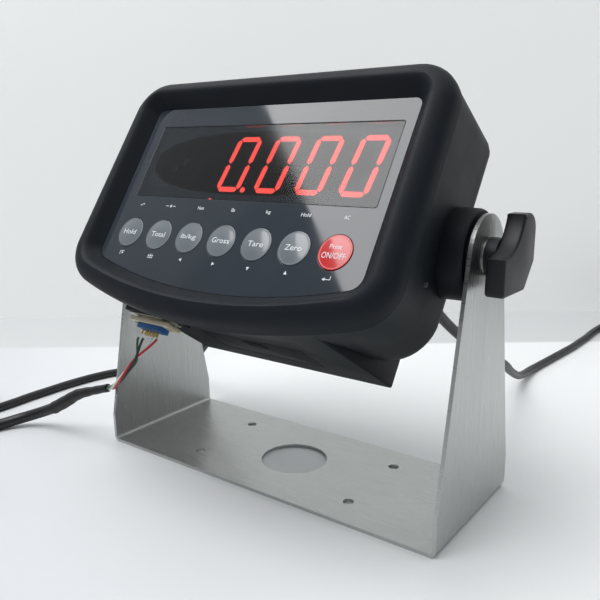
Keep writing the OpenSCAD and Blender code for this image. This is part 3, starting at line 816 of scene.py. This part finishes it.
def make_legends():
    """Letters on the keys, labels over them and small signs under them."""
    keys = [("hold", "Hold", 9.4, 2.9), ("total", "Total", 10.2, 2.9), ("unit", "lb/kg", 10.6, 3.4),
            ("gross", "Gross", 11.6, 2.9), ("tare", "Tare", 9.4, 2.9), ("zero", "Zero", 9.6, 2.9)]
    for (key, text, width, height), u in zip(keys, key_places()):
        lettering(f"legend_{key}", text, width, height, (u, KEY_V), f"key_{key}", key_top)
    left, second, third, fourth, fifth, sixth, last = key_places()
    lettering("legend_print", "Print", 6.6, 2.3, (last, KEY_V + 2.5), "key_power", key_top)
    lettering("legend_on_off", "ON/OFF", 12.6, 2.9, (last, KEY_V - 1.9), "key_power", key_top)
    labels = [("Net", 4.4, 1.9), ("lb", 2.4, 1.9), ("kg", 2.8, 2.3), ("Hold", 5.6, 1.9), ("AC", 3.2, 1.9)]
    for (text, width, height), u in zip(labels, key_places()[2:]):
        lettering(f"label_{text.lower()}", text, width, height, (u, LABEL_V))
    mark("label_stable", [wave(3.2, 0.5)], (left, LABEL_V))
    zero_signs = [bar(-3.6, 0, -1.6, 0), triangle(0, 0.8), bar(1.6, 0, 3.6, 0)]
    mark("label_zero_arrows", zero_signs, (second, LABEL_V))
    lettering("label_centre_zero", "0", 1.2, 1.8, (second + 0.2, LABEL_V))
    mark("sign_turn", [bar(-1.8, -1.1, -1.8, 1), bar(-1.8, 1, 1.2, 1), triangle(0, 0.9)], (left, SIGN_V))
    uprights = [bar(-1.4, -1, -1.4, 0.9), bar(0, -1, 0, 1.3), bar(1.4, -1, 1.4, 0.9)]
    mark("sign_sum", [bar(-2, -1, 2, -1), *uprights, bar(-2, 0.2, 2, 0.2)], (second, SIGN_V))
    arrows = (("left", 180, third), ("right", 0, fourth), ("down", 270, fifth), ("up", 90, sixth))
    for name, angle, u in arrows:
        mark(f"sign_{name}", [triangle(angle)], (u, SIGN_V))
    arrow = shifted_outline(triangle(180, 1.0), -1.3, -0.5)
    mark("sign_enter", [bar(2, 1.3, 2, -0.5), bar(2, -0.5, -1, -0.5), arrow], (last, SIGN_V))


def make_display_details():
    """The window's top line, two round lamps beside the digits and the lit Net lamp."""
    line_v = WINDOW_TOP_V + 0.3
    mark("window_top_line", [bar(-76.5, line_v, 80, line_v, 0.3)], (0, 0), "digit_body")
    lamp = lathe([(2.7, 43.9), (2.7, 44.9), (2.2, 45.3), (1.2, 45.5), (0, 45.55)], 32)
    small = lathe([(2.2, 43.9), (2.2, 44.8), (1.8, 45.2), (1.0, 45.4), (0, 45.45)], 32)
    lamps = joined(shifted(lamp, -62, 17), shifted(small, -55.5, 21.4))
    make("round_lamps", lamps, "lamp_grey", "head", (), HEAD)
    net_u = key_places()[2]
    lit = slab(round_box(0.8, -1.3, 1.3, 0.4), 47.4, 48, 0.15)
    make("net_lamp_lit", shifted(lit, net_u, -3.9), "segment_lit", "head", (), HEAD)


# ---- pivots ----


def grip_outline():
    """The wing grip, as (across, up): rounded corners, and a finger hollow at the upper front."""
    return (
        arc(-16, -13, 2.5, 180, 269, 6)
        + arc(8, -13.5, 2.5, 271, 317, 4)
        + arc(18, -2.5, 2.5, 319, 359, 4)
        + arc(11.5, 11, 9, 1, 90, 10)
        + arc(-18.8, 26.5, 24.5, -15.4, -89.3, 20)
    )


def make_knob(name, to_side):
    """A knob on the right, or on the left through the mirror to_side."""
    neck = moved(lathe([(9.25, KNOB_U), (9.25, GRIP_U + 0.5)], 48), ALONG_U)
    upright = Matrix(((0, 0, 1, GRIP_U), (1, 0, 0, 0), (0, 1, 0, 0), (0, 0, 0, 1)))
    grip = moved(slab(grip_outline(), 0, GRIP_T, 1.2, 4), upright)
    place = Matrix.Translation((0, 0, PIVOT_H)) @ to_side
    make(f"wing_{name}", moved(joined(neck, grip), place), "knob", name, [name], TABLE, 25)


# ---- signal connector and glands ----


def on_pad(depth):
    """A place on the connector pad, a depth out from it, where local z leaves the pad along -v."""
    return HEAD @ scaled_place(Matrix.Translation((PLUG_U, PAD_V - depth, PLUG_N)) @ turned(90, "X"))


def jack_holes(r, low, high, sides):
    """Boolean steps that drill the connector's two screw holes."""
    return [("DIFFERENCE", shifted(lathe([(r, low), (r, high)], sides), u)) for u in (-JACK_U, JACK_U)]


def make_signal_connector():
    """The nine-way socket's flange, the plug on it, its insulator and two rows of solder cups."""
    flange = slab(round_box(15.4, -6.25, 6.25, 1.5), 0, 1, 0.2, 2)
    flange_mesh = carved("socket_flange", flange, jack_holes(1.6, -1, 3, 24), 30)
    claim(add_object("socket_flange", flange_mesh, on_pad(0)), "connector_shell", "head", ["signal_socket"])
    plug = slab(round_box(15.4, -6.25, 6.25, 1.2), 1.21, 3.61, 0.3, 2)
    nose = slab(round_box(8.75, -4.6, 4.6, 1.6), 0.01, 3, 0.2, 2)
    plug_mesh = carved("plug_moulding", plug, [("UNION", nose), *jack_holes(2.6, -1, 6, 32)], 30)
    claim(add_object("plug_moulding", plug_mesh, on_pad(1)), "plug_body", "head", ["signal_plug"])
    strip = slab(round_box(9.5, -4, 4, 0.8), 0, 3, 0.3, 2)
    make("insulator_strip", strip, "insulator_blue", "head", ["plug_insulator"], on_pad(4.61))
    cup = joined(pipe(0.6, 0.38, 0, 3, 16), lathe([(0.6, 0), (0.6, 0.8)], 16))
    cups = [shifted(cup, CUP_PITCH * (k - (count - 1) / 2), row)
            for count, row in ((5, CUP_ROW_V), (4, -CUP_ROW_V)) for k in range(count)]
    make("cup_row", joined(*cups), "gold", "head", ["solder_cups"], on_pad(7.61))


def make_gland(name, node, u, cable_d, length, rib_count):
    """A flanged nut with a ribbed, tapering strain relief."""
    nut = lathe([(7, 0), (7, 2.4), (6.6, 3), (5.6, 3.05)], 6)
    relief = []
    start, tip = 5.2, cable_d / 2 + 0.75
    pitch = length / rib_count
    for i in range(rib_count):
        low = 3 + length * i / rib_count
        r = start + (tip - start) * i / rib_count
        r_next = start + (tip - start) * (i + 1) / rib_count
        waist = r_next - 0.7 if i < rib_count - 1 else r_next
        rib = ((r, 0.12), (r - 0.05, 0.55), (waist, 0.68), (waist, 0.95))
        relief += [(rib_r, low + share * pitch) for rib_r, share in rib]
    relief.append((tip - 0.4, 3 + length))
    collar = lathe([(4.9, -WALL - 2), (4.9, 0.1), (5.2, 3)] + relief, 40)
    place = HEAD @ scaled_place(Matrix.Translation((u, GLAND_V, BACK_N)) @ turned(180, "X"))
    make(name, joined(nut, collar), "cable_black", "head", [node], place, 40)


# ---- cables ----

MAINS_ROUTE = [
    (75, 31.5, 99), (75, 46, 89), (76, 61, 79), (77, 76, 70), (79, 92, 62), (80, 108, 54), (80, 124, 46),
    (79, 140, 38), (76, 156, 30), (73, 172, 23), (70, 189, 16), (67, 206, 10), (65, 224, 6), (64, 242, 4),
    (65, 260, 3), (67, 278, 3), (69, 296, 3), (71, 314, 3), (73, 333, 3), (74, 352, 3), (75, 371, 3),
    (75, 390, 3), (76, 409, 3), (78, 429, 3), (79, 450, 3)]
SERIAL_ROUTE = [
    (-75, 21.5, 105.5), (-77, 33, 98), (-83, 43, 88), (-92, 49, 77), (-103, 52, 65), (-114, 54, 53),
    (-125, 55, 41), (-136, 57, 30), (-148, 60, 20), (-161, 63, 12), (-175, 65, 6), (-189, 64, 3),
    (-202, 59, 3), (-213, 50, 3), (-220, 38, 3), (-224, 24, 3), (-226, 10, 3), (-227, -5, 3),
    (-227, -20, 3), (-227, -35, 3), (-226, -50, 3), (-226, -69, 3), (-226, -88, 3)]
LOAD_ROUTE = [
    (-160, -56, 17), (-175, -59, 10.5), (-187, -67, 6), (-194, -81, 3.75), (-197, -100, 3.75),
    (-198, -122, 3.75), (-197, -146, 3.75), (-196, -170, 3.75)]
WIRE_ROUTE = [(-57.5, -59.3, 82.8), (-66, -62, 70), (-80, -62, 56), (-96, -57, 45), (-110, -50, 39.5)]
SLEEVE_ROUTE = [(-110, -50, 39.5), (-124, -51.5, 35), (-138, -53, 30), (-150, -54.5, 23), (-162, -56.5, 16)]
SLEEVE_RADII = [2.6, 2.8, 3.6, 4.2, 4.2]

MAINS_COIL = ((121, 450), 42)
SERIAL_COIL = ((-262, -88), 36)
LOAD_COIL = ((-152, -170), 44)
LAYER_TURNS = 3


def coil(centre, outer, d, start, sense, turns, steps=40):
    """Turns wound inwards on the table, then outwards on top of them. sense is 1 for anticlockwise."""
    path = []
    inner = outer - d * LAYER_TURNS
    for i in range(1, int(turns * steps) + 1):
        t = i / steps
        r = outer - d * t if t < LAYER_TURNS else inner + d * (t - LAYER_TURNS)
        climb = min(max((t - LAYER_TURNS + 0.12) / 0.24, 0), 1)
        z = d / 2 + d * climb * climb * (3 - 2 * climb)
        a = math.radians(start + sense * 360 * t)
        path.append(Vector((centre[0] + r * math.cos(a), centre[1] + r * math.sin(a), z)))
    return path


def make_cord(name, path, d, finish, nodes, bend=None):
    """A round cord along a path. When bend, the stretch where it passes from the head to the bracket, is
    given, the cord joins no body and its placing is baked into its mesh; the stretch itself is not used.
    """
    path = resting(path, d)
    cord = make(name, sweep(path, d / 2), finish, None if bend else "bracket", nodes, TABLE, 60)
    if bend:
        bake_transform(cord)


def coil_tie(name, centre, outer, d, angle):
    """A flat strap round the coil's bundle of turns."""
    strap, half_strap_w = 0.8, 5
    half_w, half_h = d * 1.5 + 1.1, d + 0.55
    outside = round_box(half_w, -half_h, half_h, d / 2 + strap)
    inside = round_box(half_w - strap, strap - half_h, half_h - strap, d / 2)
    edges = ((outside, -1), (outside, 1), (inside, 1), (inside, -1))
    rings = [[(x, way * half_strap_w, y) for x, y in outline] for outline, way in edges]
    a = math.radians(angle)
    reach = outer - d
    middle = (centre[0] + reach * math.cos(a), centre[1] + reach * math.sin(a), half_h)
    place = Matrix.Translation(middle) @ turned(angle, "Z")
    return make(name, moved(loft(rings, closed=True), place), "gasket", "bracket")


def knurl(count, depth, low, high):
    """A ripple for lathe(): ridges between two heights."""
    return lambda a, h: 1 + depth * math.cos(count * a) if low < h < high else 1


def make_load_connector():
    """A round cable connector with a knurled ring, lying by its coil."""
    profile = [
        (3.6, -1), (4.6, 0), (5.2, 4), (6, 10), (6.9, 10.2), (7, 11), (7, 23), (6.8, 24), (7.8, 24.2),
        (8, 25), (8, 26), (8, 38), (8, 39), (7.6, 39.8), (6.4, 40), (6.4, 45.6), (6.1, 46), (5.2, 46),
        (5.2, 42), (0, 42)]
    shape = lathe(profile, 120, knurl(30, 0.03, 25.5, 38.5))
    place = Matrix.Translation((LOAD_COIL[0][0] + 14, LOAD_COIL[0][1] - LOAD_COIL[1] - 11.5, 8)) @ ALONG_U
    nodes = ["load_cell_connector"]
    return make("round_connector", moved(shape, place), "connector_metal", "bracket", nodes, TABLE, 25)


def make_serial_connector():
    """A nine-way D connector in a hood, lying by its coil, with two thumbscrews."""
    x, y = SERIAL_COIL[0][0] - 14, SERIAL_COIL[0][1] - SERIAL_COIL[1] - 12
    hood = [(0.5, 3.2, 3.2), (8, 3.6, 3.6), (10, 7, 6), (16, 8, 7.2), (40, 8, 7.4), (44, 8, 7.4)]
    rings = [[(s, b, a) for a, b in round_box(w, -h, h, min(w, h) * 0.6)] for s, w, h in hood]
    to_table = Matrix(((-1, 0, 0, x), (0, 0, 1, y), (0, 1, 0, 7.4), (0, 0, 0, 1)))
    shell = moved(loft(rings), to_table)
    body = make("serial_hood", shell, "hood_grey", "bracket", ["serial_connector"], sharp=40)
    flange = slab(round_box(15.4, -6.2, 6.2, 1.5), 44, 45, 0.2, 2)
    nose = slab(round_box(8.5, -4.2, 4.2, 2.2), 45, 51, 0.3, 2)
    screw = lathe([(2.2, 30), (2.2, 38), (1.4, 38.2), (1.4, 49), (0.8, 49.6)], 24)
    standing = Matrix(((0, 0, -1, x), (1, 0, 0, y), (0, 1, 0, 7.4), (0, 0, 0, 1)))
    front = joined(flange, nose, shifted(screw, -12.3), shifted(screw, 12.3))
    face = make("serial_shell", moved(front, standing), "connector_shell", "bracket")
    return body, face


def make_mains_plug():
    """A flat two-pin plug, round at its cord and squarer towards its pins."""
    centre, outer = MAINS_COIL
    place = Matrix.Translation((centre[0] + outer + 3, centre[1] - 22, 7.5)) @ turned(90, "X")
    sections = [(0, 4, 4), (1, 4.5, 4.5), (5, 5, 4.8), (11, 9, 5.9), (18, 12.7, 6.7), (24, 13, 6.8),
                (33.6, 13, 6.8), (34.6, 12.6, 6.4), (35, 11.8, 5.6)]
    rings = []
    for z, w, h in sections:
        squareness = 0.5 if z > 12 else 1
        ring = []
        for k in range(48):
            a = 2 * math.pi * k / 48
            x, y = (math.copysign(abs(c) ** squareness, c) for c in (math.cos(a), math.sin(a)))
            ring.append((w * x, h * y, z))
        rings.append(ring)
    shell = moved(loft(rings), place)
    body = make("plug_body_flat", shell, "mains_plug_black", "bracket", ["mains_plug"], sharp=40)
    pin_x = (-9.3, 9.3)
    sleeves = [shifted(lathe([(1.9, 34.5), (1.9, 45)], 24), x) for x in pin_x]
    tips = [shifted(lathe([(2, 45), (2, 52.6), (1.7, 53.5), (1, 54)], 24), x) for x in pin_x]
    guards = make("plug_pin_sleeves", moved(joined(*sleeves), place), "mains_plug_black", "bracket")
    pins = make("plug_pins", moved(joined(*tips), place), "connector_metal", "bracket")
    return body, guards, pins


def wire_path(offset_start, phase):
    """One wire: straight out of its cup, then twisted with the others into the sleeve."""
    path = smooth(WIRE_ROUTE, 10)
    total = len(path) - 1
    gathered_by, twists, bundle_r = 0.3, 1.1, 1.0
    result = []
    for i, p in enumerate(path):
        t = i / total
        gather = min(1, t / gathered_by)
        gather = gather * gather * (3 - 2 * gather)
        ahead = (path[min(i + 1, total)] - path[max(i - 1, 0)]).normalized()
        side = ahead.cross(Vector((0, 0, 1))).normalized()
        up = side.cross(ahead)
        a = phase + 2 * math.pi * twists * t
        bundled = bundle_r * (side * math.cos(a) + up * math.sin(a))
        result.append(p + Vector(offset_start) * (1 - gather) + bundled * gather)
    return result


def make_cables():
    """Three cables, each coiled on the table and ending on its connector, and the four signal wires."""
    mains_plug = make_mains_plug()
    load_connector = make_load_connector()
    serial_connector = make_serial_connector()
    mains_tie = coil_tie("mains_tie", *MAINS_COIL, MAINS_D, 160)
    serial_tie = coil_tie("serial_tie", *SERIAL_COIL, SERIAL_D, 120)
    load_tie = coil_tie("load_tie", *LOAD_COIL, LOAD_D, 40)
    path = smooth(MAINS_ROUTE) + coil(*MAINS_COIL, MAINS_D, 180, -1, 6.5)
    path += smooth([tuple(path[-1]), (166.2, 441, 8.6), (166, 434, 7.7), (166, 426, 7.5)], 3)[1:]
    make_cord("mains_cord", path, MAINS_D, "cable_black", ["mains_lead", "mains_coil"],
              (MAINS_ROUTE[0], MAINS_ROUTE[12]))
    path = smooth(SERIAL_ROUTE) + coil(*SERIAL_COIL, SERIAL_D, 0, -1, 6.25)
    path += smooth([tuple(path[-1]), (-268, -126.5, 8.4), (-272, -132.5, 7.6), (-278, -136, 7.4)], 3)[1:]
    make_cord("serial_cord", path, SERIAL_D, "cable_black", ["serial_cable", "serial_coil"],
              (SERIAL_ROUTE[0], SERIAL_ROUTE[10]))
    sleeve = make_sleeve()
    path = smooth(LOAD_ROUTE) + coil(*LOAD_COIL, LOAD_D, 180, 1, 6.25)
    path += smooth([tuple(path[-1]), (-147, -217, 9.8), (-143, -222.5, 8.6), (-135, -225.5, 8)], 3)[1:]
    nodes = ["load_cell_cable", "load_cell_coil"]
    make_cord("load_cell_cord", path, LOAD_D, "cable_black", nodes)
    starts = [("green", -7, -1.4, 1), ("black", -3, -1.4, 0.5), ("white", 1, 1.4, 1.5), ("red", 5, 1.4, 0)]
    for color, x, y, half_turns in starts:
        path = wire_path((x, y, 0), half_turns * math.pi)
        nodes = ["signal_wires"] if color == "green" else []
        make_cord(f"signal_wire_{color}", path, WIRE_D, f"wire_{color}", nodes,
                  (WIRE_ROUTE[0], WIRE_ROUTE[-1]))


def make_sleeve():
    """The shrunk sleeve from the four wires to the load cell cable, slightly wrinkled."""
    path = smooth(SLEEVE_ROUTE, 6)
    total = len(path) - 1
    radii = []
    for i in range(total + 1):
        at = i / total * (len(SLEEVE_RADII) - 1)
        k = min(int(at), len(SLEEVE_RADII) - 2)
        wrinkle = 0.12 * math.sin(i * 1.7)
        radii.append(SLEEVE_RADII[k] + (SLEEVE_RADII[k + 1] - SLEEVE_RADII[k]) * (at - k) + wrinkle)
    return make("shrink_sleeve", sweep(path, radii, 20), "sleeve", "bracket", ["heat_shrink"], TABLE, 60)


# ---- room ----


ROOM = 6
WALL_AWAY = 0.37
WALL_H = 3


def add_stage(name, corners, material):
    mesh = bpy.data.meshes.new(name)
    mesh.from_pydata(corners, [], [(0, 1, 2, 3)])
    mesh.materials.append(material)
    add_object(name, mesh, TABLE)


def table_white():
    """White with painted shade that makes it a little darker at the near left, and light grey past a line
    behind the object.
    """
    nodes = Nodes("table_white")
    x, y = nodes.plane_places()
    y_share = nodes.maths("MULTIPLY", y, 0.8)
    away = nodes.maths("ADD", nodes.maths("MULTIPLY", x, -0.6), y_share)
    # painted shade: the table's colour darkens towards the near left, standing in for the light that falls
    # off there
    across = nodes.maths("ADD", nodes.maths("MULTIPLY", x, 0.5), y_share)
    far = nodes.spread(away, 0, 1, 0.246, 0.252)
    painted_shade_near = nodes.tint(nodes.spread(across, 0, 1, -0.22, 0.04), linear(206, 208, 212), linear(238, 240, 241))
    nodes.feed("Base Color", nodes.tint(far, painted_shade_near, linear(205, 207, 208)))
    nodes.feed("Roughness", 0.55)
    return nodes.material


def wall_grey():
    """A matt wall, clear from behind so that it never hides the object."""
    nodes = Nodes("wall_grey")
    tone = nodes.spread(nodes.noise(0.8, 2), 0, 1)
    nodes.feed("Base Color", nodes.tint(tone, linear(228, 230, 229), linear(233, 235, 234)))
    nodes.feed("Roughness", 0.7)
    nodes.feed("Emission Color", (1, 1, 1, 1))
    nodes.feed("Emission Strength", 0.17)
    mix = nodes.add("ShaderNodeMixShader")
    nodes.link(nodes.add("ShaderNodeNewGeometry").outputs["Backfacing"], mix.inputs[0])
    nodes.link(nodes.shader.outputs[0], mix.inputs[1])
    nodes.link(nodes.add("ShaderNodeBsdfTransparent").outputs[0], mix.inputs[2])
    nodes.link(mix.outputs[0], nodes.tree.nodes["Material Output"].inputs["Surface"])
    return nodes.material


def make_room():
    """A white table, and a wall square to the line of sight."""
    corners = [(x * ROOM, y * ROOM, 0) for x, y in ((-1, -1), (1, -1), (1, 1), (-1, 1))]
    add_stage("table_top", corners, table_white())
    along, away = Vector((0.8, 0.6, 0)) * ROOM, Vector((-0.6, 0.8, 0)) * WALL_AWAY
    top = away + Vector((0, 0, WALL_H))
    add_stage("wall", [away - along, away + along, top + along, top - along], wall_grey())


def add_light(name, width, height, power, place):
    data = bpy.data.lights.new(name, "AREA")
    data.shape = "RECTANGLE"
    data.size, data.size_y = width, height
    data.energy = power
    light = bpy.data.objects.new(name, data)
    light.matrix_world = place
    bpy.context.collection.objects.link(light)


def make_lights():
    """A dim sky, a soft ceiling, and a bright card seen mirrored in the right part of the display film."""
    world = bpy.data.worlds.new("studio")
    bpy.context.scene.world = world
    world.use_nodes = True
    backdrop = world.node_tree.nodes["Background"]
    backdrop.inputs["Color"].default_value = (0.80, 0.82, 0.85, 1)
    backdrop.inputs["Strength"].default_value = 0.4
    card_edge, card_out = Vector((0.447, -0.836, -0.316)), Vector((0.793, 0.207, 0.572))
    card_corner = Vector((-0.733, -0.502, 1.1035))
    card_l, card_w = 1.1, 0.9
    facing = card_edge.cross(card_out).normalized()
    turn = Matrix((card_edge, facing.cross(card_edge), facing)).transposed().to_4x4()
    middle = card_corner + card_out * card_w / 2
    add_light("window_card", card_l, card_w, 15, Matrix.Translation(middle) @ turn)
    ceiling, aim = Vector((0.2, 0.2, 2.2)), Vector((0, 0, 0.1))
    down = (aim - ceiling).to_track_quat("-Z", "Y").to_matrix().to_4x4()
    add_light("ceiling", 2, 2, 14, Matrix.Translation(ceiling) @ down)
    bpy.context.scene.view_settings.view_transform = "Standard"


# ---- everything ----

SLOT_OF = {f"wire_{color}": "wire_colors" for color in WIRE_COLORS}
SLOT_OF |= {"legend": "overlay", "lamp_grey": "digit_body"}
MATERIALS = make_materials()

make_camera()
make_cables()
make_front_shell()
make_rear_shell()
make_battery_door()
make_housing_screws()
make_overlay()
for key, column in zip(("hold", "total", "unit", "gross", "tare", "zero", "power"), key_places()):
    make_key(f"key_{key}", column, "key_red" if key == "power" else "key_grey")
make_legends()
make_display_details()
make_knob("knob_left", TO_LEFT)
make_knob("knob_right", Matrix())
make_signal_connector()
make_gland("serial_relief", "serial_gland", -GLAND_U, SERIAL_D, 14, 5)
make_gland("mains_relief", "mains_strain_relief", GLAND_U, MAINS_D, 26, 8)

# the bracket's sheet edges catch the light
bevel = frame["nodes"]["u_bracket"].modifiers.new("edge", "BEVEL")
bevel.width = 0.25 * MM
bevel.segments = 2
bevel.limit_method = "ANGLE"
for subpart in frame["record"]["subparts"]:
    if subpart["material_slot"] in MATERIALS:
        dress(subpart["material_slot"], subpart["node"])

make_room()
make_lights()
